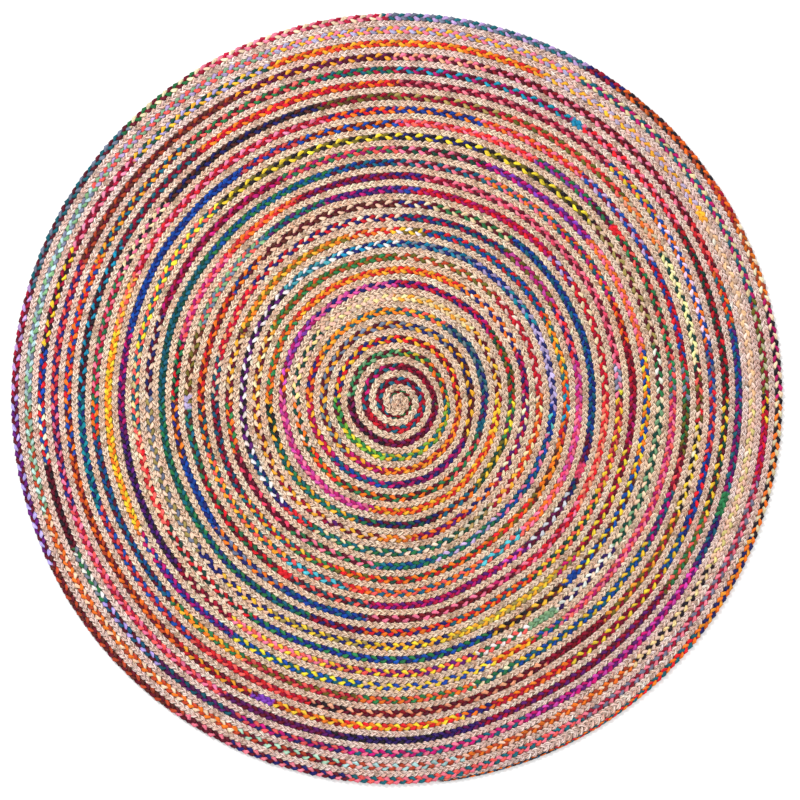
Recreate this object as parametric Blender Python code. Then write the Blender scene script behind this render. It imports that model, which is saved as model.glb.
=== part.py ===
"""Round braided rug: two flat plaits wound side by side into one flat coil.

A plait of natural jute and a plait of cotton rag strips start together at the
middle and wind outward clockwise, seen from above, each turn sewn to the one
inside it. The jute always lies just inside the rag, so the rag makes the rim.
The turns run as near-circles and step out by one pitch close to the seam
angle, which keeps the finished rug round. Each plait is one flat solid here.
Units are metres, +Z is up, and the origin is under the middle of the rug.
"""

import math

import bmesh
import bpy
from mathutils import Vector
from mathutils.geometry import delaunay_2d_cdt

# Driving sizes
RIM_RADIUS = 0.915          # half of a six-foot rug
THICKNESS = 0.0095          # of a plait, pressed flat
PITCH = 0.0318              # one jute plait and one rag plait, side by side
GAP = 0.0003                # clearance between the two solids

# The winding, in turns: turn 0 is the first full one and RIM_TURN makes the rim
RIM_TURN = 27
START = -0.77               # where the rag's tapered end is caught in
FINISH = RIM_TURN + 0.962   # where both plaits run out at the rim
SEAM_ANGLE = math.radians(262)
CENTRE_SQUEEZE = 0.0083     # the first turns are pulled in by this much
SQUEEZE_TURNS = 4.0         # and the pull dies away over this many turns

# The step from one turn to the next, as shares of a turn
STEP_OPENS_CENTRE = 0.46
STEP_OPENS_RIM = 0.893
STEP_CLOSES = 0.978
STEP_SPREAD_TURNS = 4.0
STEP_SHARE = 0.8            # the rest of the pitch is gained evenly

# Width of the rag plait, as a share of the pitch
RAG_SHARE = 0.5
RAG_SHARE_START = 0.07
RAG_SHARE_FINISH = 0.14
RAG_GROWS = (0.02, 0.20)                           # turns
RAG_SHRINKS = (RIM_TURN + 0.84, RIM_TURN + 0.90)   # turns

SLIT_END = 0.004            # radius of the solid middle of the jute's end
SLIT_TURNS = 0.012          # angular width of the slit beside that end

# Facets round one turn, by the turn that they start from
FACET_ROWS = (
    {"from_turn": -1, "facets": 12},
    {"from_turn": 2, "facets": 16},
    {"from_turn": 8, "facets": 20},
    {"from_turn": 15, "facets": 24},
    {"from_turn": 22, "facets": 28},
)

# Plain finishes
JUTE_COLOUR = (0.56, 0.43, 0.31, 1.0)
RAG_COLOUR = (0.52, 0.09, 0.13, 1.0)
CLOTH_ROUGHNESS = 0.9


def smooth(value, low, high):
    """Soft step from 0 at low to 1 at high."""
    t = min(1.0, max(0.0, (value - low) / (high - low)))
    return t * t * (3.0 - 2.0 * t)


def ring_radius(turn):
    """Outer edge of the rag plait at the start of a whole turn."""
    regular = RIM_RADIUS - PITCH * (RIM_TURN - turn)
    squeeze = CENTRE_SQUEEZE * math.exp(-max(turn, 0) / SQUEEZE_TURNS)
    return min(RIM_RADIUS, regular - squeeze)


def rag_outer(turn):
    """Outer edge of the rag plait at any place along the winding."""
    whole = math.floor(turn)
    part = turn - whole
    inner = ring_radius(whole)
    outer = ring_radius(whole + 1)
    spread = math.exp(-max(whole, 0) / STEP_SPREAD_TURNS)
    opens = STEP_OPENS_RIM + (STEP_OPENS_CENTRE - STEP_OPENS_RIM) * spread
    share = STEP_SHARE + (1.0 - STEP_SHARE) * (max(whole, 0) / (RIM_TURN - 1)) ** 4
    drift = (1.0 - share) * part
    step = share * smooth(part, opens, STEP_CLOSES)
    return inner + (outer - inner) * min(1.0, drift + step)


def rag_width(turn):
    """Width of the rag plait, thin at both of its ends."""
    grown = smooth(turn, *RAG_GROWS)
    shrunk = smooth(turn, *RAG_SHRINKS)
    share = RAG_SHARE_START + (RAG_SHARE - RAG_SHARE_START) * grown
    share += (RAG_SHARE_FINISH - RAG_SHARE) * shrunk
    space = rag_outer(turn) - rag_outer(turn - 1.0)
    return min(share * PITCH, 0.5 * space)


def rag_inner(turn):
    """Line where the rag plait meets the jute plait inside it."""
    return rag_outer(turn) - rag_width(turn)


def jute_inner(turn):
    """Line where the jute plait meets the rag of the turn before."""
    return rag_outer(turn - 1.0)


def facets_at(turn):
    """Number of facets round the turn that holds this place."""
    count = FACET_ROWS[0]["facets"]
    for row in FACET_ROWS:
        if turn >= row["from_turn"]:
            count = row["facets"]
    return count


def places_between(start, finish, offset):
    """Places along the winding on an even grid of angles, ends included.

    The offset says which turn's grid is used, so that both solids that meet
    on a line have their corners at the same places along it.
    """
    places = [start]
    whole = math.floor(start + offset)
    while whole <= finish + offset:
        count = facets_at(whole)
        first = math.ceil((SEAM_ANGLE - math.tau) * count / math.tau)
        for step in range(count):
            angle = (first + count - 1 - step) * math.tau / count
            place = whole - offset + (SEAM_ANGLE - angle) / math.tau
            clear = 0.2 / count
            if places[-1] + clear < place < finish - clear:
                places.append(place)
        whole += 1
    places.append(finish)
    return places


def point_at(turn, radius):
    """Corner in plan."""
    angle = SEAM_ANGLE - math.tau * turn
    return Vector((radius * math.cos(angle), radius * math.sin(angle)))


def edge_line(radius_of, places, shift):
    """Corners along one edge of a plait, moved sideways by shift."""
    return [point_at(place, radius_of(place) + shift) for place in places]


def rag_outline():
    """Outline of the rag plait: its inner edge out, then its outer edge back."""
    inner = edge_line(rag_inner, places_between(START, FINISH, 0.0), GAP / 2)
    outer = edge_line(rag_outer, places_between(START, FINISH, 1.0), -GAP / 2)
    return inner + outer[::-1]


def jute_outline():
    """Outline of the jute plait, with its end folded in at the middle."""
    outer = edge_line(rag_inner, places_between(START, FINISH, 0.0), -GAP / 2)
    wrap = START + 1.0
    inner = edge_line(jute_inner, places_between(wrap, FINISH, 0.0), GAP / 2)
    slit_side = wrap - SLIT_TURNS
    slit = [
        point_at(slit_side, jute_inner(wrap) + GAP / 2),
        point_at(slit_side + SLIT_TURNS / 2, SLIT_END),
    ]
    return outer + inner[::-1] + slit


def cloth_material(name, colour):
    """Plain matt cloth."""
    material = bpy.data.materials.new(name)
    material.use_nodes = True
    shader = material.node_tree.nodes["Principled BSDF"]
    shader.inputs["Base Color"].default_value = colour
    shader.inputs["Roughness"].default_value = CLOTH_ROUGHNESS
    shader.inputs["Metallic"].default_value = 0.0
    material.diffuse_color = colour
    return material


def flat_solid(name, outline, material):
    """Fills an outline with triangles and extrudes it to the rug's thickness."""
    loop = list(range(len(outline)))
    corners, _, faces, *_ = delaunay_2d_cdt(outline, [], [loop], 1, 1e-7)

    mesh_bm = bmesh.new()
    verts = [mesh_bm.verts.new((corner.x, corner.y, 0.0)) for corner in corners]
    for face in faces:
        mesh_bm.faces.new([verts[index] for index in face])
    base = list(mesh_bm.faces)
    grown = bmesh.ops.extrude_face_region(mesh_bm, geom=base)
    raised = [item for item in grown["geom"] if isinstance(item, bmesh.types.BMVert)]
    bmesh.ops.translate(mesh_bm, verts=raised, vec=(0.0, 0.0, THICKNESS))
    bmesh.ops.recalc_face_normals(mesh_bm, faces=mesh_bm.faces)

    mesh = bpy.data.meshes.new(name)
    mesh_bm.to_mesh(mesh)
    mesh_bm.free()
    mesh.materials.append(material)
    solid = bpy.data.objects.new(name, mesh)
    bpy.context.scene.collection.objects.link(solid)
    return solid


def main():
    for old in list(bpy.data.objects):
        bpy.data.objects.remove(old, do_unlink=True)
    flat_solid("jute_braid", jute_outline(), cloth_material("jute", JUTE_COLOUR))
    flat_solid("rag_braid", rag_outline(), cloth_material("rag_cotton", RAG_COLOUR))


main()
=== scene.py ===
"""Looks of the round braided rug: three jute strands and three rag strands.

Each plait is made strand by strand along its whole winding, so every bump on
the rug is the top of a strand that passes under its neighbours on both sides.
"""

import math

import bpy
import numpy as np
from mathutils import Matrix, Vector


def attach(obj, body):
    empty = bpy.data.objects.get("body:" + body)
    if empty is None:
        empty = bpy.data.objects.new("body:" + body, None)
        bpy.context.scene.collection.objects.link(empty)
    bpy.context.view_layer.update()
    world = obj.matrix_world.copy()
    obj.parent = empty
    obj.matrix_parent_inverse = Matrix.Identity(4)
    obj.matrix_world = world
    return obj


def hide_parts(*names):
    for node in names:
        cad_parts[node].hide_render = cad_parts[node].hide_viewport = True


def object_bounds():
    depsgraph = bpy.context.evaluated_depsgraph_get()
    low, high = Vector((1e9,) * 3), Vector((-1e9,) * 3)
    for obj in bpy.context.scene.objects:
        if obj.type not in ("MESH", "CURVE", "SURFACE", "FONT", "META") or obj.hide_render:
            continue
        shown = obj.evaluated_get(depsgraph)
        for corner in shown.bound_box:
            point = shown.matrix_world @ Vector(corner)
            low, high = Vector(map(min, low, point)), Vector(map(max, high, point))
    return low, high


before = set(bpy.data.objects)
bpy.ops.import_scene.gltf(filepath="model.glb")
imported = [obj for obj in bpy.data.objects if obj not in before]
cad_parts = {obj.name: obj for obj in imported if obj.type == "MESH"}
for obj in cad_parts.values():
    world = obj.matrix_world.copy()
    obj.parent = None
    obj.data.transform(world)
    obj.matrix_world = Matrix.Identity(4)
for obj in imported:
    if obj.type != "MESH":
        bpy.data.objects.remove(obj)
cad_low, cad_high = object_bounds()

# ---------------------------------------------------------------- sizes (metres)
RIM_RADIUS = (cad_high.x - cad_low.x) / 2
THICKNESS = cad_high.z
PITCH = 0.0318
PLAIT_WIDTH = PITCH / 2

RIM_TURN = 27
START = -0.77
FINISH = RIM_TURN + 0.962
SEAM_DEGREES = 262
CENTRE_SQUEEZE = 0.0083
SQUEEZE_TURNS = 4.0

STEP_OPENS_CENTRE = 0.46
STEP_OPENS_RIM = 0.893
STEP_CLOSES = 0.978
STEP_SPREAD_TURNS = 4.0
STEP_SHARE = 0.8

RAG_SHARE = 0.5
RAG_SHARE_START = 0.22
RAG_SHARE_FINISH = 0.14
RAG_GROWS = (0.02, 0.20)
RAG_SHRINKS = (RIM_TURN + 0.84, RIM_TURN + 0.90)

PATH_STEPS = 480            # places worked out along each turn of the winding
PLAIT_STEPS = 8             # rings of a strand's mesh in one repeat of the plait
PRESS = 0.0011              # how far a plait presses into the one beside it
CROWN_RISE = 0.0012         # how far a crown may stand above the plain thickness
FOLD_STEPS = 90             # places along the jute's folded end
STRAND_GIRTH = 0.024        # height of one row when a strand is laid flat
ROW_MARGIN = 0.10           # share of a row left empty on each side of a strand

# How each plait is made: the length of one repeat, the places round a strand,
# how far its strands swing sideways and up, and their half width and height.
# Swell makes a strand plumper where it lies on top, hook makes it cross the
# middle more steeply, and raise lifts the tops of its strands.
PLAITS = {
    "jute": {
        "repeat": 0.0445, "sides": 5, "swing": 0.0046, "lift": 0.0020,
        "wide": 0.0046, "edge_wide": 0.0038, "high": 0.0028, "edge_high": 0.0031,
        "swell": 0.20, "hook": 0.08, "raise": 0.0,
        "tilt": 30.0, "seed": 11, "unevenness": 0.06,
    },
    "rag": {
        "repeat": 0.0458, "sides": 6, "swing": 0.0048, "lift": 0.0021,
        "wide": 0.0046, "edge_wide": 0.0037, "high": 0.0028, "edge_high": 0.0032,
        "swell": 0.30, "hook": 0.14, "raise": 0.0005,
        "tilt": 32.0, "seed": 23, "unevenness": 0.12,
    },
}

# The jute's end turned in at the middle: a curve through these four handles
JUTE_END_HANDLES = ((0.0065, 0.0030), (0.0125, -0.0310), (-0.0120, -0.0310), None)

# ---------------------------------------------------------------- dyes
DYES = {
    "crimson": (0.66, 0.04, 0.20), "red": (0.84, 0.10, 0.15), "dark_red": (0.52, 0.03, 0.10),
    "maroon": (0.38, 0.04, 0.14), "coral": (0.97, 0.36, 0.33), "peach": (0.99, 0.68, 0.50),
    "pink": (0.97, 0.47, 0.58), "rose": (0.86, 0.24, 0.38), "magenta": (0.74, 0.06, 0.42),
    "orchid": (0.84, 0.28, 0.66), "plum": (0.40, 0.07, 0.30), "purple": (0.36, 0.08, 0.42),
    "violet": (0.48, 0.22, 0.66), "lavender": (0.74, 0.66, 0.84), "indigo": (0.20, 0.09, 0.40),
    "navy": (0.12, 0.13, 0.42), "blue": (0.06, 0.27, 0.62), "turquoise": (0.07, 0.56, 0.69),
    "cyan": (0.33, 0.76, 0.82), "teal": (0.07, 0.37, 0.45), "dark_green": (0.06, 0.27, 0.22),
    "green": (0.16, 0.46, 0.27), "sage": (0.52, 0.66, 0.50), "mint": (0.70, 0.88, 0.82),
    "lime": (0.50, 0.68, 0.20), "olive": (0.42, 0.38, 0.12), "khaki": (0.66, 0.57, 0.33),
    "yellow": (0.99, 0.82, 0.20), "pale_yellow": (0.98, 0.87, 0.58), "gold": (0.99, 0.68, 0.18),
    "orange": (0.99, 0.47, 0.12), "rust": (0.72, 0.26, 0.14), "brown": (0.36, 0.15, 0.12),
    "black": (0.13, 0.09, 0.13), "slate": (0.44, 0.48, 0.56), "white": (0.96, 0.93, 0.92),
    "cream": (0.97, 0.83, 0.70), "beige": (0.88, 0.72, 0.62),
}

# The order in which the rag strips are plaited in. A row holds one turn: each
# stretch ends at its degree of the circle (from +X, against the clock) and
# names the dyes of its strips. One name alone is a join wrapped in that dye.
RAG_TURNS = {
    27: "15 black magenta cream, 27 orange rust cream, 35 crimson orange rust, 54 rust black orange,"
        " 60 navy crimson maroon, 92 slate lavender teal, 122 crimson pink cream, 135 green maroon cream,"
        " 163 teal slate maroon, 180 maroon crimson lavender, 205 purple maroon lavender,"
        " 235 brown rust maroon, 245 maroon pink maroon, 262 maroon pink navy, 294 orange teal brown,"
        " 322 red orange teal, 338 gold orange navy, 360 black cream orange",
    26: "15 olive crimson cream, 60 pale_yellow magenta teal, 110 lavender pink gold,"
        " 145 coral sage lavender, 180 mint sage slate, 198 sage mint rust, 225 cream rust orange,"
        " 245 cream orange rust, 262 mint rust maroon, 300 teal coral pink, 347 crimson pink slate,"
        " 357 crimson magenta red, 360 yellow black crimson",
    25: "30 beige pale_yellow cream, 32 gold, 66 lavender gold beige, 90 red orange gold,"
        " 111 red orange gold, 137 gold dark_green lavender, 155 crimson maroon pink,"
        " 172 yellow crimson black, 180 blue red navy, 191 blue white red, 205 maroon black maroon,"
        " 215 white slate green, 228 teal lavender maroon, 243 purple teal plum, 262 magenta navy coral,"
        " 280 mint rust beige, 305 orange rust beige, 312 orange cream rust,"
        " 332 black cream pale_yellow, 360 cream pale_yellow beige",
    24: "12 teal blue purple, 22 orange red teal, 30 red maroon coral, 75 dark_red pink maroon,"
        " 90 maroon pink peach, 118 maroon plum gold, 157 maroon rust brown, 180 navy crimson coral,"
        " 200 navy crimson pink, 240 crimson coral pink, 258 maroon purple plum, 262 indigo black plum,"
        " 293 magenta teal pink, 330 orchid purple magenta, 341 purple teal navy, 344 green,"
        " 360 teal magenta purple",
    23: "32 dark_green maroon red, 55 pink red maroon, 58 turquoise, 90 turquoise maroon magenta,"
        " 105 teal crimson green, 130 green maroon coral, 155 gold teal maroon, 180 blue red orange,"
        " 190 orange blue maroon, 228 rust orange maroon, 244 gold maroon red, 248 violet,"
        " 262 yellow dark_red orange, 278 indigo black indigo, 285 indigo plum indigo,"
        " 325 crimson maroon purple, 340 coral green olive, 360 dark_green yellow maroon",
    22: "10 slate red blue, 35 orange white blue, 48 coral blue yellow, 90 maroon crimson pink,"
        " 128 red orange crimson, 150 crimson maroon teal, 180 turquoise black maroon,"
        " 200 turquoise navy teal, 230 blue crimson coral, 253 crimson red coral, 262 maroon black peach,"
        " 282 yellow red orange, 287 navy purple orange, 303 red orange crimson,"
        " 327 maroon crimson yellow, 335 teal yellow blue, 350 navy blue red, 360 coral crimson blue",
    21: "6 coral maroon olive, 28 cream pale_yellow dark_green, 42 cream orange peach, 70 red coral olive,"
        " 90 khaki crimson maroon, 105 brown crimson olive, 140 black navy brown, 155 cream pink black,"
        " 180 pink crimson green, 188 teal orange red, 222 blue teal maroon, 240 green orange gold,"
        " 262 coral crimson olive, 300 maroon peach dark_red, 314 maroon crimson dark_red,"
        " 338 crimson olive gold, 355 black cream yellow, 360 red olive cream",
    20: "7 green slate red, 28 crimson blue red, 50 blue lavender crimson, 72 red orange pink,"
        " 90 blue navy orange, 105 orange red navy, 155 crimson red pink, 166 coral peach gold,"
        " 207 gold orange yellow, 215 blue cream magenta, 236 magenta blue purple, 262 blue yellow teal,"
        " 285 orange coral green, 295 teal green cream, 330 blue teal yellow, 342 purple teal magenta,"
        " 350 maroon crimson coral, 360 brown green olive",
    19: "8 coral green slate, 37 maroon green coral, 39 red, 45 green purple maroon,"
        " 60 magenta violet green, 90 coral pink red, 110 blue orange maroon, 125 blue coral crimson,"
        " 166 blue blue navy, 187 indigo plum magenta, 218 indigo black purple, 232 crimson maroon cream,"
        " 256 coral pink yellow, 262 purple yellow coral, 290 blue yellow cream, 300 yellow red orange,"
        " 308 blue green pink, 360 pink magenta coral",
    18: "12 white green maroon, 42 maroon cream khaki, 70 yellow olive black, 90 yellow black navy,"
        " 133 black olive yellow, 170 yellow teal coral, 187 teal coral pale_yellow,"
        " 208 coral red cream, 236 dark_green cream red,"
        " 262 green blue navy, 287 purple yellow coral, 300 green white coral, 307 sage,"
        " 326 indigo white cream, 360 dark_green cream sage",
    17: "10 yellow blue orange, 40 orange pink coral, 70 purple violet magenta, 90 dark_green maroon pink,"
        " 118 coral magenta green, 160 crimson maroon magenta, 180 maroon navy cream,"
        " 217 slate cream khaki, 224 navy cream navy, 240 navy yellow cream, 262 yellow khaki navy,"
        " 293 blue green navy, 313 brown yellow black, 316 blue, 342 brown blue yellow,"
        " 360 blue yellow orange",
    16: "13 crimson maroon red, 25 maroon orange red, 48 orange teal magenta, 70 teal orange pink,"
        " 90 maroon teal pink, 105 blue maroon teal, 145 teal green blue, 180 teal dark_green teal,"
        " 215 dark_green teal green, 248 navy teal green, 262 navy maroon crimson, 282 yellow navy gold,"
        " 313 gold khaki yellow, 320 magenta gold khaki, 350 yellow crimson maroon,"
        " 360 crimson maroon magenta",
    15: "2 yellow black pink, 10 slate pink lavender, 75 pink rose maroon, 82 pink maroon crimson,"
        " 90 purple crimson navy, 116 crimson maroon purple, 140 orange red coral, 165 coral pink magenta,"
        " 180 green black red, 195 orange brown navy, 215 blue navy blue, 240 navy orange slate,"
        " 262 blue navy teal, 283 navy red orange, 307 orange red teal, 335 coral dark_green yellow,"
        " 360 coral crimson yellow",
    14: "33 red crimson cream, 43 purple red lavender, 85 crimson magenta red, 90 blue violet crimson,"
        " 110 navy magenta purple, 130 teal green purple, 160 coral sage slate, 180 olive brown cream,"
        " 183 lavender, 200 green brown teal, 235 red green maroon, 239 red, 262 coral maroon teal,"
        " 297 maroon pink dark_red, 305 magenta maroon pink, 330 pink red crimson, 360 red coral peach",
    13: "53 navy teal blue, 80 green maroon cream, 90 maroon navy cream, 135 brown maroon cream,"
        " 145 blue orange maroon, 180 orange maroon red, 195 orange maroon teal, 235 teal coral gold,"
        " 255 cyan coral teal, 262 orange red coral, 300 crimson magenta purple,"
        " 312 purple orchid coral, 330 maroon plum white, 335 navy teal maroon, 341 rose,"
        " 350 maroon plum navy, 360 navy teal blue",
    12: "12 pink magenta orchid, 30 red navy pink, 55 magenta orchid olive, 90 navy teal crimson,"
        " 140 red navy cream, 165 red crimson peach, 180 teal crimson cream, 210 crimson maroon teal,"
        " 235 gold teal crimson, 250 green crimson gold, 262 red orange olive, 295 coral orange teal,"
        " 315 coral teal cyan, 335 coral orange pink, 360 pink rose orchid",
    11: "5 turquoise orange red, 28 teal orange yellow, 33 red orange teal, 80 blue teal red,"
        " 90 yellow olive white, 108 red orange cream, 155 orange gold olive, 158 maroon,"
        " 180 maroon gold cream, 197 orange crimson green, 232 maroon rose maroon,"
        " 262 green maroon pink, 300 orange dark_green red, 325 orange olive red,"
        " 345 orange gold brown, 350 purple orange red, 360 orange turquoise red",
    10: "28 lavender navy lavender, 45 turquoise navy lavender, 60 navy lavender blue,"
        " 90 turquoise navy slate, 115 turquoise navy white, 135 cyan white teal, 180 black white purple,"
        " 200 black white purple, 216 teal navy white, 225 navy purple white, 237 coral red teal,"
        " 262 green teal cream, 285 green teal blue, 310 teal green lavender, 345 pink blue teal,"
        " 355 blue navy cyan, 360 navy blue lavender",
    9: "45 red crimson cream, 90 olive rust cream, 150 olive rust green, 180 cream maroon gold,"
       " 215 maroon gold cream, 240 crimson gold cream, 248 purple maroon cream, 262 cream gold maroon,"
       " 290 green cream teal, 312 dark_green khaki cream, 325 crimson gold cream, 360 red orange cream",
    8: "20 navy crimson magenta, 60 orange navy cream, 90 orange gold red, 140 orange red gold,"
       " 180 orange green rust, 200 dark_green gold black, 250 gold teal green, 262 green maroon navy,"
       " 278 orange gold cream, 300 purple crimson orange, 320 navy orange cream,"
       " 360 purple crimson cream",
    7: "35 red olive dark_green, 90 magenta red navy, 135 orchid pink navy, 165 orchid violet magenta,"
       " 180 orchid orange maroon, 255 pink magenta orchid, 262 gold orange magenta,"
       " 290 maroon dark_green navy, 312 orange teal maroon, 340 dark_green olive yellow,"
       " 360 green yellow plum",
    6: "40 gold maroon cream, 90 cream pale_yellow gold, 140 cream pale_yellow cream,"
       " 180 dark_green cream pale_yellow, 210 dark_green cream orange, 235 green orange red,"
       " 262 green orange maroon, 340 orange red gold, 360 crimson gold yellow",
    5: "55 teal navy slate, 90 gold teal coral, 150 teal orange gold, 180 crimson navy orange,"
       " 225 crimson magenta gold, 262 blue magenta teal, 300 green maroon orange,"
       " 337 coral maroon green, 344 teal, 360 navy plum teal",
    4: "50 gold brown navy, 90 navy gold slate, 180 gold maroon slate, 225 gold slate maroon,"
       " 262 crimson magenta gold, 330 navy plum magenta, 360 gold brown maroon",
    3: "90 gold red maroon, 180 navy red gold, 205 green lime maroon, 262 yellow green lime,"
       " 360 orange crimson gold",
    2: "50 green maroon orange, 90 yellow green maroon, 180 green maroon sage, 262 maroon black plum,"
       " 360 teal lime gold",
    1: "90 maroon crimson maroon, 180 maroon teal magenta, 205 teal maroon crimson,"
       " 245 crimson red crimson, 262 teal maroon crimson, 350 plum maroon crimson,"
       " 360 green maroon plum",
    0: "90 maroon teal crimson, 262 crimson teal maroon, 360 teal crimson red",
    -1: "360 dark_red green brown",
}

RAG_SEED = 5
RAG_STAGGER = 0.012         # turns by which the strips of one stretch may start apart
FIRST_DYES = ["maroon", "teal", "crimson"]
JOIN_SWELL = 0.30           # how much plumper a strand is at a join
JOIN_REACH = 0.45           # length of that lump, in repeats of the plait


# ---------------------------------------------------------------- the winding
def smooth(value, low, high):
    """Soft step from 0 at low to 1 at high."""
    t = np.clip((value - low) / (high - low), 0.0, 1.0)
    return t * t * (3.0 - 2.0 * t)


def ring_radius(turn):
    """Outer edge of the rag plait at the start of whole turns."""
    regular = RIM_RADIUS - PITCH * (RIM_TURN - turn)
    squeeze = CENTRE_SQUEEZE * np.exp(-np.maximum(turn, 0) / SQUEEZE_TURNS)
    return np.minimum(RIM_RADIUS, regular - squeeze)


def rag_outer(turn):
    """Outer edge of the rag plait along the winding."""
    whole = np.floor(turn)
    part = turn - whole
    inner = ring_radius(whole)
    outer = ring_radius(whole + 1)
    spread = np.exp(-np.maximum(whole, 0) / STEP_SPREAD_TURNS)
    opens = STEP_OPENS_RIM + (STEP_OPENS_CENTRE - STEP_OPENS_RIM) * spread
    share = STEP_SHARE + (1.0 - STEP_SHARE) * (np.maximum(whole, 0) / (RIM_TURN - 1)) ** 4
    gained = (1.0 - share) * part + share * smooth(part, opens, STEP_CLOSES)
    return inner + (outer - inner) * np.minimum(1.0, gained)


def rag_width(turn):
    """Width of the rag plait, thin at both of its ends."""
    share = RAG_SHARE_START + (RAG_SHARE - RAG_SHARE_START) * smooth(turn, *RAG_GROWS)
    share += (RAG_SHARE_FINISH - RAG_SHARE) * smooth(turn, *RAG_SHRINKS)
    space = rag_outer(turn) - rag_outer(turn - 1.0)
    return np.minimum(share * PITCH, 0.5 * space)


def meander(x, y):
    """Slow wander of the turns in plan, shared by neighbours and gone at the rim."""
    radius = np.hypot(x, y)
    angle = np.arctan2(y, x)
    calm = 1.0 - smooth(radius, 0.80 * RIM_RADIUS, 0.985 * RIM_RADIUS)
    calm *= smooth(radius, 0.02, 0.12)
    wander = 0.0011 * np.sin(5 * angle + radius * 21.0 + 0.7)
    wander += 0.0009 * np.sin(11 * angle - radius * 34.0 + 2.1)
    wander += 0.0006 * np.sin(23 * angle + radius * 55.0)
    scale = 1.0 + calm * wander / np.maximum(radius, 0.02)
    return x * scale, y * scale


def plan_path(kind):
    """Centre line of a plait in plan, with its half width and its turn."""
    turn = np.arange(START, FINISH, 1.0 / PATH_STEPS)
    rag_half = rag_width(turn) / 2
    if kind == "rag":
        radius = rag_outer(turn) - rag_half
        half = rag_half
    else:
        outer = rag_outer(turn) - 2 * rag_half
        space = outer - rag_outer(turn - 1.0)
        half = np.where(turn < START + 1.0, PLAIT_WIDTH, space) / 2
        radius = outer - half
    angle = math.radians(SEAM_DEGREES) - math.tau * turn
    x = radius * np.cos(angle)
    y = radius * np.sin(angle)
    if kind == "jute":
        x, y, half, turn = add_folded_end(x, y, half, turn)
    x, y = meander(x, y)
    return x, y, half, turn


def add_folded_end(x, y, half, turn):
    """Puts the jute's turned-in end before the start of its winding."""
    handles = [np.array(handle or (x[0], y[0])) for handle in JUTE_END_HANDLES]
    t = np.linspace(0.0, 1.0, FOLD_STEPS)[:-1, None]
    curve = (
        (1 - t) ** 3 * handles[0] + 3 * (1 - t) ** 2 * t * handles[1]
        + 3 * (1 - t) * t ** 2 * handles[2] + t ** 3 * handles[3]
    )
    count = len(curve)
    x = np.concatenate((curve[:, 0], x))
    y = np.concatenate((curve[:, 1], y))
    half = np.concatenate((np.full(count, half[0]), half))
    turn = np.concatenate((np.full(count, turn[0]), turn))
    return x, y, half, turn


def wave_noise(rng, places, spacing, size):
    """Smooth random numbers along a line, about one change in each spacing."""
    knots = np.arange(places[0] - spacing, places[-1] + 2 * spacing, spacing)
    values = rng.normal(0.0, size, len(knots))
    slot = np.clip(np.searchsorted(knots, places) - 1, 0, len(knots) - 2)
    t = (places - knots[slot]) / spacing
    t = t * t * (3.0 - 2.0 * t)
    return values[slot] * (1 - t) + values[slot + 1] * t


def plait_rings(kind):
    """Even places along the plait, each with its plan position and directions."""
    plait = PLAITS[kind]
    x, y, half, turn = plan_path(kind)
    length = np.concatenate(([0.0], np.cumsum(np.hypot(np.diff(x), np.diff(y)))))
    rng = np.random.default_rng(plait["seed"])
    repeat = plait["repeat"] * (1.0 + wave_noise(rng, length, 0.6, 0.035))
    phase = np.concatenate(([0.0], np.cumsum(np.diff(length) / repeat[1:])))
    even = np.arange(0.0, phase[-1], 1.0 / PLAIT_STEPS)
    ring = {
        "phase": even,
        "along": np.interp(even, phase, length),
        "x": np.interp(even, phase, x),
        "y": np.interp(even, phase, y),
        "half": np.interp(even, phase, half),
        "turn": np.interp(even, phase, turn),
    }
    ahead_x = np.gradient(ring["x"])
    ahead_y = np.gradient(ring["y"])
    size = np.hypot(ahead_x, ahead_y)
    ring["out_x"] = -ahead_y / size
    ring["out_y"] = ahead_x / size
    return ring


# ---------------------------------------------------------------- strands
def end_taper(ring):
    """1 along the plait, closing to a soft tip at both of its ends."""
    steps = np.arange(len(ring["phase"]))
    from_end = np.minimum(steps, steps[::-1]) / (0.5 * PLAIT_STEPS)
    return np.sqrt(np.clip(from_end, 0.02, 1.0))


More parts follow.
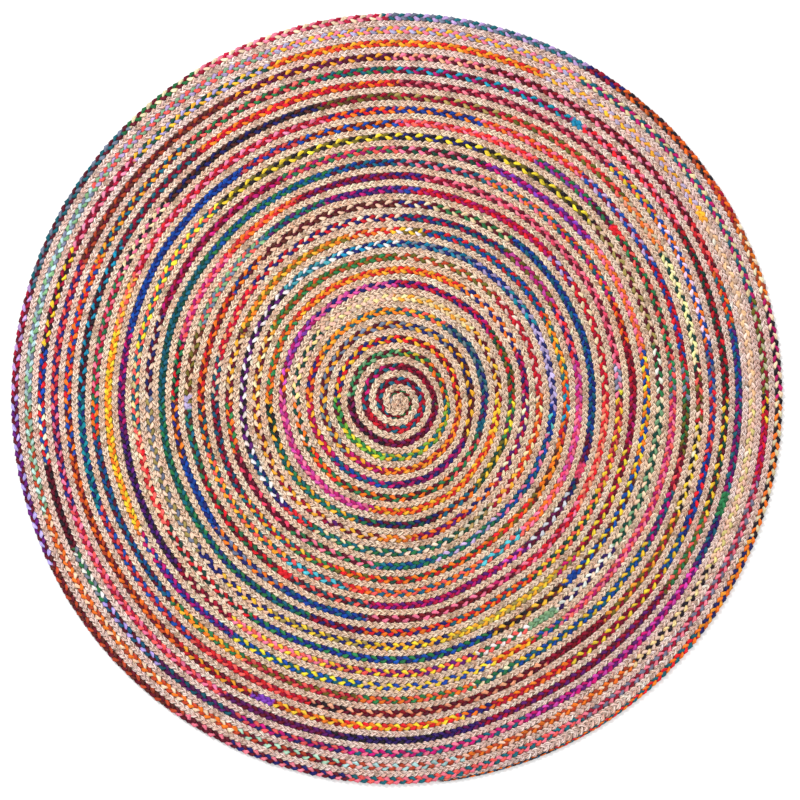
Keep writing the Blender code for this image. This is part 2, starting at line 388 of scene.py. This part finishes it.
def strand_rings(kind, ring, number, swell):
    """Corners of one strand: rings along it by places round it, and the crown."""
    plait = PLAITS[kind]
    rng = np.random.default_rng(plait["seed"] + 101 * (number + 1))
    swing = math.tau * (ring["phase"] + number / 3.0)
    size = (ring["half"] + PRESS) / (PLAIT_WIDTH / 2 + PRESS)
    lift = np.sqrt(np.minimum(size, 1.0))
    uneven = plait["unevenness"]
    plump = 1.0 + wave_noise(rng, ring["phase"], 0.34, uneven) + swell
    thick = 1.0 + wave_noise(rng, ring["phase"], 0.40, 0.7 * uneven) + 0.7 * swell
    stray = 1.0 + wave_noise(rng, ring["phase"], 0.5, 0.6 * uneven)
    taper = end_taper(ring)

    edge = np.sin(swing) ** 2
    reach = plait["swing"] + PRESS
    across = reach * (np.sin(swing) + plait["hook"] * np.sin(3 * swing)) * size * stray
    on_top = np.sin(2 * swing)
    height = (plait["lift"] * on_top + plait["raise"] * np.maximum(on_top, 0.0)) * lift
    plump = plump * (1.0 + plait["swell"] * on_top)
    thick = thick * (1.0 + 0.5 * plait["swell"] * on_top)
    wide = (plait["wide"] + (plait["edge_wide"] - plait["wide"]) * edge) * size * plump * taper
    high = (plait["high"] + (plait["edge_high"] - plait["high"]) * edge) * lift * thick * taper
    tilt = math.radians(plait["tilt"]) * np.cos(swing) ** 3

    sides = plait["sides"]
    round_it = math.tau * (np.arange(sides) + 0.5) / sides
    c = np.cos(round_it)[None, :]
    s = np.sin(round_it)[None, :]
    ripple = 1.0 + rng.normal(0.0, 0.035, (len(swing), sides))
    c_tilt = np.cos(tilt)[:, None]
    s_tilt = np.sin(tilt)[:, None]
    side = (wide[:, None] * c * c_tilt - high[:, None] * s * s_tilt) * ripple
    rise = (wide[:, None] * c * s_tilt + high[:, None] * s * c_tilt) * ripple
    side += across[:, None]
    rise += height[:, None] + THICKNESS / 2
    rise = np.clip(rise, 0.0, THICKNESS + CROWN_RISE)
    x = ring["x"][:, None] + ring["out_x"][:, None] * side
    y = ring["y"][:, None] + ring["out_y"][:, None] * side
    corners = np.stack((x, y, rise), axis=-1)
    # crown: how high each corner lies in the plait; the materials darken low corners with it as painted
    # shade in the grooves
    crown = np.clip(rise / THICKNESS, 0.0, 1.0)
    return corners, crown


def bake_layout(along, sides):
    """Rows of a strand laid flat: one row after another fills the square."""
    length = along[-1]
    rows = max(1, round(math.sqrt(length / STRAND_GIRTH)))
    row_length = length / rows * 1.0001
    row = np.minimum((along[:-1] / row_length).astype(int), rows - 1)
    start = along[:-1] / row_length - row
    end = along[1:] / row_length - row
    sides_at = (np.arange(sides + 1) / sides) * (1 - 2 * ROW_MARGIN) + ROW_MARGIN
    return row, start, end, sides_at, rows


def strand_mesh(name, corners, crown, along, colours):
    """A closed tube with its colours, crown and two flat layouts."""
    count, sides, _ = corners.shape
    points = corners.reshape(-1, 3)
    tips = np.array([corners[0].mean(axis=0), corners[-1].mean(axis=0)])
    points = np.concatenate((points, tips))

    step = np.arange(count - 1)[:, None]
    place = np.arange(sides)[None, :]
    beside = (place + 1) % sides
    quads = np.stack(
        (
            step * sides + place, step * sides + beside,
            (step + 1) * sides + beside, (step + 1) * sides + place,
        ),
        axis=-1,
    ).reshape(-1, 4)[:, ::-1]
    tip_start = count * sides
    place = np.arange(sides)
    beside = (place + 1) % sides
    first = np.stack((np.full(sides, tip_start), place, beside), axis=-1)[:, ::-1]
    last = np.stack(
        (
            np.full(sides, tip_start + 1), (count - 1) * sides + beside,
            (count - 1) * sides + place,
        ),
        axis=-1,
    )[:, ::-1]

    loops = np.concatenate((quads.ravel(), first.ravel(), last.ravel())).astype(np.int32)
    starts = np.concatenate(
        (np.arange(len(quads)) * 4, len(quads) * 4 + np.arange(2 * sides) * 3)
    ).astype(np.int32)

    mesh = bpy.data.meshes.new(name)
    mesh.vertices.add(len(points))
    mesh.vertices.foreach_set("co", points.ravel())
    mesh.loops.add(len(loops))
    mesh.loops.foreach_set("vertex_index", loops)
    mesh.polygons.add(len(starts))
    mesh.polygons.foreach_set("loop_start", starts)
    mesh.update(calc_edges=True)
    mesh.validate()
    mesh.shade_smooth()

    add_layouts(mesh, count, sides, along)
    add_point_values(mesh, corners, crown, colours)
    piece = bpy.data.objects.new(name, mesh)
    bpy.context.scene.collection.objects.link(piece)
    return piece


def add_layouts(mesh, count, sides, along):
    """The baking rows, and the strand's own layout in metres along and turns round."""
    row, start, end, sides_at, rows = bake_layout(along, sides)
    low = sides_at[:-1]
    high = sides_at[1:]
    quad_count = (count - 1) * sides
    bake = np.zeros((count - 1, sides, 4, 2))
    own = np.zeros((count - 1, sides, 4, 2))
    # the corners of a quad run: next ring, next ring beside, this ring beside, this ring
    turned = ((True, False), (True, True), (False, True), (False, False))
    for corner, (later, beside) in enumerate(turned):
        bake[:, :, corner, 0] = (end if later else start)[:, None]
        bake[:, :, corner, 1] = (row[:, None] + (high if beside else low)[None, :]) / rows
        own[:, :, corner, 0] = (along[1:] if later else along[:-1])[:, None]
        own[:, :, corner, 1] = ((np.arange(sides) + (1 if beside else 0)) / sides)[None, :]
    tips = np.zeros((2 * sides * 3, 2))
    tips[:sides * 3, :] = bake[0, 0, 3]
    tips[sides * 3:, :] = bake[-1, 0, 0]
    own_tips = np.zeros((2 * sides * 3, 2))
    own_tips[sides * 3:, 0] = along[-1]
    for name, values, tip_values in (("OFBake", bake, tips), ("strand", own, own_tips)):
        layer = mesh.uv_layers.new(name=name)
        flat = np.concatenate((values.reshape(quad_count * 4, 2), tip_values))
        layer.uv.foreach_set("vector", flat.ravel().astype(np.float32))
    mesh.uv_layers.active = mesh.uv_layers["OFBake"]


def add_point_values(mesh, corners, crown, colours):
    """Each corner's colour and how high it lies in the plait."""
    count, sides, _ = corners.shape
    values = np.ones((count, sides, 4))
    values[:, :, :3] = colours[:, None, :]
    values = np.concatenate((values.reshape(-1, 4), values[0, :1], values[-1, :1]))
    layer = mesh.color_attributes.new("dye", "FLOAT_COLOR", "POINT")
    layer.data.foreach_set("color", values.ravel().astype(np.float32))
    # the crown value drives the painted groove shade in the materials
    crowns = np.concatenate((crown.ravel(), [0.5, 0.5]))
    layer = mesh.attributes.new("crown", "FLOAT", "POINT")
    layer.data.foreach_set("value", crowns.astype(np.float32))


# ---------------------------------------------------------------- colours along the strands
def to_linear(colour):
    """Screen colour to the light that the renderer mixes."""
    c = np.asarray(colour, dtype=float)
    return np.where(c <= 0.04045, c / 12.92, ((c + 0.055) / 1.055) ** 2.4)


def rag_stretches():
    """Every stretch along the winding: the turn it starts at, and its dyes."""
    stretches = []
    for turn in range(-1, RIM_TURN + 1):
        row = []
        for words in RAG_TURNS[turn].split(","):
            degree, *dyes = words.split()
            row.append((int(degree), dyes))
        # going with the clock from the seam: down to 0, then from 360 down to the seam
        ends = [(0, None)] + row
        pieces = []
        for (low, _), (high, dyes) in zip(ends[:-1], ends[1:]):
            if low < SEAM_DEGREES:
                pieces.append(((SEAM_DEGREES - min(high, SEAM_DEGREES)) / 360, dyes))
            if high > SEAM_DEGREES:
                pieces.append(((SEAM_DEGREES + 360 - high) / 360, dyes))
        for part, dyes in sorted(pieces, key=lambda piece: piece[0]):
            stretches.append((turn + part, dyes))
    return stretches


def keep_order(before, dyes):
    """Gives each strand its dye, so that a dye that goes on stays on its strand."""
    dyes = list(dyes)
    while len(dyes) < 3:
        dyes.append(dyes[0])
    placed = [None, None, None]
    for strand, dye in enumerate(before):
        if dye in dyes:
            placed[strand] = dye
            dyes.remove(dye)
    for strand in range(3):
        if placed[strand] is None:
            placed[strand] = dyes.pop(0)
    return placed


def rag_colours(ring):
    """Colours of the three rag strands at each ring, and where their joins swell."""
    rng = np.random.default_rng(RAG_SEED)
    starts = [[], [], []]
    names = [[], [], []]
    joins = []
    before = FIRST_DYES
    for start, dyes in rag_stretches():
        if len(dyes) == 1:
            joins.append(start)
        before = keep_order(before, dyes)
        for strand in range(3):
            stagger = rng.uniform(-RAG_STAGGER, RAG_STAGGER) if len(dyes) > 1 else 0.0
            starts[strand].append(start + stagger * min(1.0, 6.0 / (abs(start) + 1.0)))
            names[strand].append(before[strand])
    colours = []
    for strand in range(3):
        order = np.maximum.accumulate(np.array(starts[strand]))
        slot = np.clip(np.searchsorted(order, ring["turn"], side="right") - 1, 0, None)
        table = np.array([DYES[name] for name in names[strand]])
        batch = rng.normal(0.0, 0.035, table.shape) + rng.normal(0.0, 0.04, (len(table), 1))
        table = np.clip(table * (1.0 + batch), 0.02, 1.0)
        shade = 1.0 + wave_noise(rng, ring["phase"], 0.5, 0.06)
        colours.append(to_linear(np.clip(table[slot] * shade[:, None], 0.01, 1.0)))
    return colours, joins


def join_swell(ring, joins):
    """Lumps where a new strip is knotted in."""
    swell = np.zeros(len(ring["turn"]))
    for start in joins:
        middle = np.searchsorted(ring["turn"], start) + PLAIT_STEPS // 3
        middle = min(middle, len(swell) - 1)
        distance = (ring["phase"] - ring["phase"][middle]) / JOIN_REACH
        swell += JOIN_SWELL * np.exp(-distance ** 2)
    return swell


JUTE_MIDDLE = (0.99, 0.855, 0.74)   # warm, well inside the rug
JUTE_RIM = (0.98, 0.85, 0.82)       # pinker and duller, towards the rim
JUTE_DULL_FROM = 20                 # the turn where that change begins
JUTE_SEED = 300


def jute_colours(ring):
    """Natural jute, a little different from bundle to bundle."""
    colours = []
    for strand in range(3):
        rng = np.random.default_rng(JUTE_SEED + strand)
        rim = smooth(ring["turn"], JUTE_DULL_FROM, RIM_TURN - 1)[:, None]
        base = np.array(JUTE_MIDDLE) * (1 - rim) + np.array(JUTE_RIM) * rim
        shade = 1.0 + wave_noise(rng, ring["phase"], 0.5, 0.05)
        shade = shade + wave_noise(rng, ring["phase"], 9.0, 0.035)
        warmth = wave_noise(rng, ring["phase"], 5.0, 0.02)
        tint = np.stack((shade + warmth, shade, shade - warmth), axis=-1)
        colours.append(to_linear(np.clip(base * tint, 0.05, 1.0)))
    return colours


# ---------------------------------------------------------------- shader groups
class Wiring:
    """Adds nodes to one tree and links them by name."""

    def __init__(self, tree):
        self.tree = tree
        self.column = 0

    def node(self, kind, label="", **settings):
        made = self.tree.nodes.new(kind)
        made.label = label
        self.column += 1
        made.location = (self.column * 190 - 2400, -(self.column % 4) * 210)
        for key, value in settings.items():
            setattr(made, key, value)
        return made

    def join(self, source, target):
        self.tree.links.new(source, target)

    def feed(self, target, value):
        """Links a socket, or sets a plain number or colour on it."""
        if isinstance(value, bpy.types.NodeSocket):
            self.join(value, target)
        else:
            target.default_value = value

    def maths(self, operation, first, second=0.0, third=None, label="", clamp=False):
        made = self.node("ShaderNodeMath", label, operation=operation, use_clamp=clamp)
        self.feed(made.inputs[0], first)
        self.feed(made.inputs[1], second)
        if third is not None:
            self.feed(made.inputs[2], third)
        return made.outputs[0]

    def span(self, value, low, high, to_low, to_high, label=""):
        made = self.node("ShaderNodeMapRange", label, interpolation_type="SMOOTHSTEP")
        for key, number in zip(("Value", "From Min", "From Max", "To Min", "To Max"),
                               (value, low, high, to_low, to_high)):
            self.feed(made.inputs[key], number)
        return made.outputs["Result"]

    def mix(self, factor, first, second, blend="MIX", label=""):
        made = self.node("ShaderNodeMix", label, data_type="RGBA", blend_type=blend)
        self.feed(made.inputs["Factor"], factor)
        self.feed(made.inputs[6], first)
        self.feed(made.inputs[7], second)
        return made.outputs[2]

    def noise(self, vector, scale, detail=2.0, roughness=0.5, distortion=0.0, label=""):
        made = self.node("ShaderNodeTexNoise", label)
        self.feed(made.inputs["Vector"], vector)
        self.feed(made.inputs["Scale"], scale)
        made.inputs["Detail"].default_value = detail
        made.inputs["Roughness"].default_value = roughness
        made.inputs["Distortion"].default_value = distortion
        return made.outputs["Fac"]


def new_group(name, inputs, outputs):
    """An empty shader group with named sockets."""
    group = bpy.data.node_groups.new(name, "ShaderNodeTree")
    for socket, (kind, value) in inputs.items():
        made = group.interface.new_socket(socket, in_out="INPUT", socket_type=kind)
        if value is not None:
            made.default_value = value
    for socket, kind in outputs.items():
        group.interface.new_socket(socket, in_out="OUTPUT", socket_type=kind)
    wiring = Wiring(group)
    entry = wiring.node("NodeGroupInput")
    leave = wiring.node("NodeGroupOutput")
    return group, wiring, entry.outputs, leave.inputs


FLOAT = "NodeSocketFloat"
COLOUR = "NodeSocketColor"
VECTOR = "NodeSocketVector"


def strand_lines_group():
    """Lines that run along a strand: yarns of jute, or folds of a rag strip."""
    group, w, given, out = new_group(
        "Lines along a strand",
        {
            "Along and Round": (VECTOR, None),
            "Lines": (FLOAT, 7.0),
            "Lay": (FLOAT, 40.0),
            "Wander": (FLOAT, 0.5),
            "Patches": (FLOAT, 11.0),
        },
        {"Ridge": FLOAT, "Line Tint": FLOAT},
    )
    apart = w.node("ShaderNodeSeparateXYZ")
    w.join(given["Along and Round"], apart.inputs[0])
    along, around = apart.outputs[0], apart.outputs[1]
    turned = w.maths("MULTIPLY", around, given["Lines"])
    lay = w.maths("MULTIPLY", along, given["Lay"])
    # wander reads a circle, so it has no seam where the strand's layout closes
    angle = w.maths("MULTIPLY", around, math.tau)
    circle = w.node("ShaderNodeCombineXYZ")
    w.join(w.maths("COSINE", angle), circle.inputs[0])
    w.join(w.maths("SINE", angle), circle.inputs[1])
    w.join(w.maths("MULTIPLY", along, 90.0), circle.inputs[2])
    drift = w.noise(circle.outputs[0], 1.0, 2.0, label="wander of the lines")
    drift = w.maths("MULTIPLY", w.maths("SUBTRACT", drift, 0.5), given["Wander"])
    position = w.maths("ADD", w.maths("ADD", turned, lay), drift)
    part = w.maths("FRACT", position)
    ridge = w.maths("SINE", w.maths("MULTIPLY", part, math.pi), label="round top of each line")
    w.join(ridge, out["Ridge"])
    number = w.maths("FLOOR", position)
    wrapped = w.maths("FLOORED_MODULO", number, given["Lines"])
    tint = w.node("ShaderNodeTexWhiteNoise", "tint of each line", noise_dimensions="2D")
    place = w.node("ShaderNodeCombineXYZ")
    w.join(wrapped, place.inputs[0])
    stagger = w.maths("MULTIPLY", wrapped, 0.37)
    patch = w.maths("ADD", w.maths("MULTIPLY", along, given["Patches"]), stagger)
    w.join(w.maths("FLOOR", patch), place.inputs[1])
    w.join(place.outputs[0], tint.inputs["Vector"])
    w.join(tint.outputs["Value"], out["Line Tint"])
    return group


def painted_shade_and_fading_group():
    """Painted shade: darker lower down in the plait's grooves, where shade falls; a little faded on the
    crowns.
    """
    group, w, given, out = new_group(
        "Painted groove shade and faded crowns",
        {
            "Colour": (COLOUR, (0.5, 0.5, 0.5, 1.0)),
            "Groove Shade": (FLOAT, 0.6),
            "Fading": (FLOAT, 0.12),
            "Scale": (FLOAT, 60.0),
        },
        {"Colour": COLOUR},
    )
    crown = w.node("ShaderNodeAttribute", "height in the plait", attribute_name="crown").outputs["Fac"]
    place = w.node("ShaderNodeTexCoord").outputs["Object"]
    patch = w.noise(place, given["Scale"])
    # painted shade: the lower a corner lies, the more its colour is darkened towards a brown shadow tint
    depth = w.span(crown, 0.42, 0.86, 1.0, 0.0, "depth of the groove")
    shade = w.maths("MULTIPLY", depth, given["Groove Shade"], clamp=True)
    dark = w.mix(1.0, given["Colour"], (0.20, 0.13, 0.11, 1.0), "MULTIPLY")
    shaded = w.mix(shade, given["Colour"], dark)
    top = w.span(crown, 0.80, 1.0, 0.0, 1.0, "crowns")
    fade = w.maths("MULTIPLY", w.maths("MULTIPLY", top, patch), given["Fading"], clamp=True)
    w.join(w.mix(fade, shaded, (0.90, 0.86, 0.82, 1.0)), out["Colour"])
    return group


def fibre_group():
    """Fine fuzz and weave that breaks up colour, gloss and surface."""
    group, w, given, out = new_group(
        "Fibre fuzz",
        {"Along and Round": (VECTOR, None), "Stretch": (FLOAT, 1.0)},
        {"Fuzz": FLOAT, "Fleck": FLOAT},
    )
    apart = w.node("ShaderNodeSeparateXYZ")
    w.join(given["Along and Round"], apart.inputs[0])
    angle = w.maths("MULTIPLY", apart.outputs[1], math.tau)
    circle = w.node("ShaderNodeCombineXYZ")
    w.join(w.maths("MULTIPLY", w.maths("COSINE", angle), 0.0036), circle.inputs[0])
    w.join(w.maths("MULTIPLY", w.maths("SINE", angle), 0.0036), circle.inputs[1])
    w.join(w.maths("DIVIDE", apart.outputs[0], given["Stretch"]), circle.inputs[2])
    w.join(w.noise(circle.outputs[0], 900.0, 3.0, 0.6, label="fuzz"), out["Fuzz"])
    w.join(w.noise(circle.outputs[0], 330.0, 2.0, 0.6, label="flecks"), out["Fleck"])
    return group


# ---------------------------------------------------------------- materials
def cloth_material(name, sheen):
    """A new material with the shader's plain numbers set."""
    material = bpy.data.materials.new(name)
    material.use_nodes = True
    shader = material.node_tree.nodes["Principled BSDF"]
    shader.inputs["Metallic"].default_value = 0.0
    shader.inputs["Specular IOR Level"].default_value = 0.10
    shader.inputs["Sheen Weight"].default_value = sheen
    shader.inputs["Sheen Roughness"].default_value = 0.6
    return material, Wiring(material.node_tree), shader


def place_group(wiring, group, **values):
    """Puts a group into a material and feeds its named inputs."""
    made = wiring.node("ShaderNodeGroup", group.name, node_tree=group)
    for key, value in values.items():
        wiring.feed(made.inputs[key.replace("_", " ")], value)
    return made


def jute_material(lines, shading_and_fading, fibre):
    """Natural jute: yarns laid side by side with painted shade in the hollows between them, dull, hairy
    and uneven in tone.
    """
    material, w, shader = cloth_material("natural jute", 0.05)
    own = w.node("ShaderNodeUVMap", uv_map="strand").outputs[0]
    dye = w.node("ShaderNodeAttribute", "jute tone", attribute_name="dye").outputs["Color"]
    yarns = place_group(w, lines, Along_and_Round=own, Lines=6.0, Lay=36.0, Wander=0.9, Patches=75.0)
    fuzz = place_group(w, fibre, Along_and_Round=own, Stretch=1.6)
    ridge, tint = yarns.outputs["Ridge"], yarns.outputs["Line Tint"]

    tan = w.span(tint, 0.50, 0.62, 0.0, 0.80, "tan yarns")
    body = w.mix(tan, dye, w.mix(1.0, dye, (0.84, 0.62, 0.56, 1.0), "MULTIPLY"))
    bark = w.span(tint, 0.80, 0.92, 0.0, 0.85, "bark yarns")
    body = w.mix(bark, body, w.mix(1.0, dye, (0.46, 0.40, 0.32, 1.0), "MULTIPLY"))
    pale = w.span(fuzz.outputs["Fleck"], 0.50, 0.66, 0.0, 0.85, "pale fibres")
    body = w.mix(pale, body, (0.98, 0.77, 0.65, 1.0))
    dark = w.span(fuzz.outputs["Fuzz"], 0.44, 0.32, 0.0, 0.80, "bark specks")
    body = w.mix(dark, body, (0.24, 0.17, 0.13, 1.0))
    # painted shade: the colour darkens in the hollows between neighbouring yarns
    between = w.span(ridge, 0.15, 0.72, 0.82, 0.0, "painted shade between the yarns")
    body = w.mix(between, body, (0.21, 0.15, 0.10, 1.0))
    # painted shade in the plait's grooves; no fading on the jute's crowns
    shaded_and_faded = place_group(w, shading_and_fading, Colour=body, Groove_Shade=0.35, Fading=0.0, Scale=45.0)
    w.join(shaded_and_faded.outputs["Colour"], shader.inputs["Base Color"])
    w.join(w.span(fuzz.outputs["Fuzz"], 0.2, 0.8, 0.72, 0.96, "roughness"), shader.inputs["Roughness"])

    height = w.maths("ADD", ridge, w.maths("MULTIPLY", fuzz.outputs["Fuzz"], 0.35))
    bump = w.node("ShaderNodeBump", "yarns")
    bump.inputs["Strength"].default_value = 0.9
    bump.inputs["Distance"].default_value = 0.0011
    w.join(height, bump.inputs["Height"])
    w.join(bump.outputs[0], shader.inputs["Normal"])
    return material


def rag_material(lines, shading_and_fading, fibre):
    """Cotton rag strips: folded lengthwise, creased, with painted shade in the crease hollows and the
    plait's grooves, softly faded.
    """
    material, w, shader = cloth_material("cotton rag", 0.03)
    own = w.node("ShaderNodeUVMap", uv_map="strand").outputs[0]
    dye = w.node("ShaderNodeAttribute", "dye", attribute_name="dye").outputs["Color"]
    folds = place_group(w, lines, Along_and_Round=own, Lines=4.0, Lay=22.0, Wander=2.2, Patches=11.0)
    fuzz = place_group(w, fibre, Along_and_Round=own, Stretch=2.0)
    ridge, tint = folds.outputs["Ridge"], folds.outputs["Line Tint"]

    tone = w.span(tint, 0.0, 1.0, 0.0, 0.30, "shade of each fold")
    body = w.mix(tone, dye, w.mix(1.0, dye, (0.42, 0.38, 0.42, 1.0), "MULTIPLY"))
    worn_thread = w.span(fuzz.outputs["Fleck"], 0.58, 0.80, 0.0, 0.07, "rubbed threads")
    body = w.mix(worn_thread, body, (0.95, 0.90, 0.86, 1.0))
    # painted shade: the colour darkens in the hollows between the folds
    crease = w.span(ridge, 0.05, 0.45, 0.45, 0.0, "painted crease shade")
    body = w.mix(crease, body, w.mix(1.0, body, (0.24, 0.18, 0.22, 1.0), "MULTIPLY"))
    # painted shade in the plait's grooves, with slight fading on the crowns
    shaded_and_faded = place_group(w, shading_and_fading, Colour=body, Groove_Shade=0.45, Fading=0.02, Scale=70.0)
    w.join(shaded_and_faded.outputs["Colour"], shader.inputs["Base Color"])
    w.join(w.span(fuzz.outputs["Fuzz"], 0.2, 0.8, 0.66, 0.92, "roughness"), shader.inputs["Roughness"])

    height = w.maths("ADD", ridge, w.maths("MULTIPLY", fuzz.outputs["Fuzz"], 0.25))
    bump = w.node("ShaderNodeBump", "folds")
    bump.inputs["Strength"].default_value = 0.7
    bump.inputs["Distance"].default_value = 0.0012
    w.join(height, bump.inputs["Height"])
    w.join(bump.outputs[0], shader.inputs["Normal"])
    return material


# ---------------------------------------------------------------- studio
FRAME_WIDTH = 1.901         # what the camera takes in, side to side
CAMERA_HEIGHT = 6.0
CAMERA_AT = (0.0078, -0.0031)
SENSOR = 36.0
FLOOR_REACH = 9.0
FLOOR_LEVEL = -0.0004       # just clear of the rug's underside


def make_camera():
    """Straight above, with the rug filling the frame."""
    data = bpy.data.cameras.new("camera")
    data.sensor_width = SENSOR
    data.lens = SENSOR * CAMERA_HEIGHT / FRAME_WIDTH
    camera = bpy.data.objects.new("camera", data)
    camera.location = (*CAMERA_AT, CAMERA_HEIGHT)
    bpy.context.scene.collection.objects.link(camera)
    bpy.context.scene.camera = camera


def make_floor():
    """A wide plain pale floor."""
    reach = FLOOR_REACH
    mesh = bpy.data.meshes.new("floor")
    plan = ((-reach, -reach), (reach, -reach), (reach, reach), (-reach, reach))
    corners = [(x, y, FLOOR_LEVEL) for x, y in plan]
    mesh.from_pydata(corners, [], [(0, 1, 2, 3)])
    floor = bpy.data.objects.new("floor", mesh)
    bpy.context.scene.collection.objects.link(floor)
    material = bpy.data.materials.new("pale floor")
    material.use_nodes = True
    shader = material.node_tree.nodes["Principled BSDF"]
    shader.inputs["Base Color"].default_value = (0.93, 0.93, 0.93, 1.0)
    shader.inputs["Roughness"].default_value = 0.9
    mesh.materials.append(material)


def soft_light(name, place, size, power):
    """A square lamp that looks at the middle of the rug."""
    data = bpy.data.lights.new(name, "AREA")
    data.size = size
    data.energy = power
    lamp = bpy.data.objects.new(name, data)
    lamp.location = place
    direction = -lamp.location.normalized()
    lamp.rotation_euler = direction.to_track_quat("-Z", "Y").to_euler()
    bpy.context.scene.collection.objects.link(lamp)


def make_light():
    """Even light all round, with a key from the upper left."""
    world = bpy.data.worlds.new("studio")
    world.use_nodes = True
    background = world.node_tree.nodes["Background"]
    background.inputs["Color"].default_value = (1.0, 1.0, 1.0, 1.0)
    background.inputs["Strength"].default_value = 0.78
    bpy.context.scene.world = world
    bpy.context.scene.view_settings.view_transform = "Standard"
    soft_light("key", (-2.6, 3.0, 3.6), 1.8, 222.0)
    soft_light("fill", (3.0, -1.6, 4.2), 3.0, 58.0)


# ---------------------------------------------------------------- making
def make_plait(kind, node, material):
    """The three strands of one plait."""
    ring = plait_rings(kind)
    swell = np.zeros(len(ring["phase"]))
    if kind == "rag":
        colours, joins = rag_colours(ring)
        swell = join_swell(ring, joins)
    else:
        colours = jute_colours(ring)
    for number in range(3):
        corners, crown = strand_rings(kind, ring, number, swell)
        name = f"{kind}_strand_{number + 1}"
        piece = strand_mesh(name, corners, crown, ring["along"], colours[number])
        piece.data.materials.append(material)
        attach(piece, "root")
        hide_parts(node)


make_camera()
make_floor()
make_light()
strand_lines = strand_lines_group()
grooves = painted_shade_and_fading_group()
fibres = fibre_group()
make_plait("jute", "jute_braid", jute_material(strand_lines, grooves, fibres))
make_plait("rag", "rag_braid", rag_material(strand_lines, grooves, fibres))
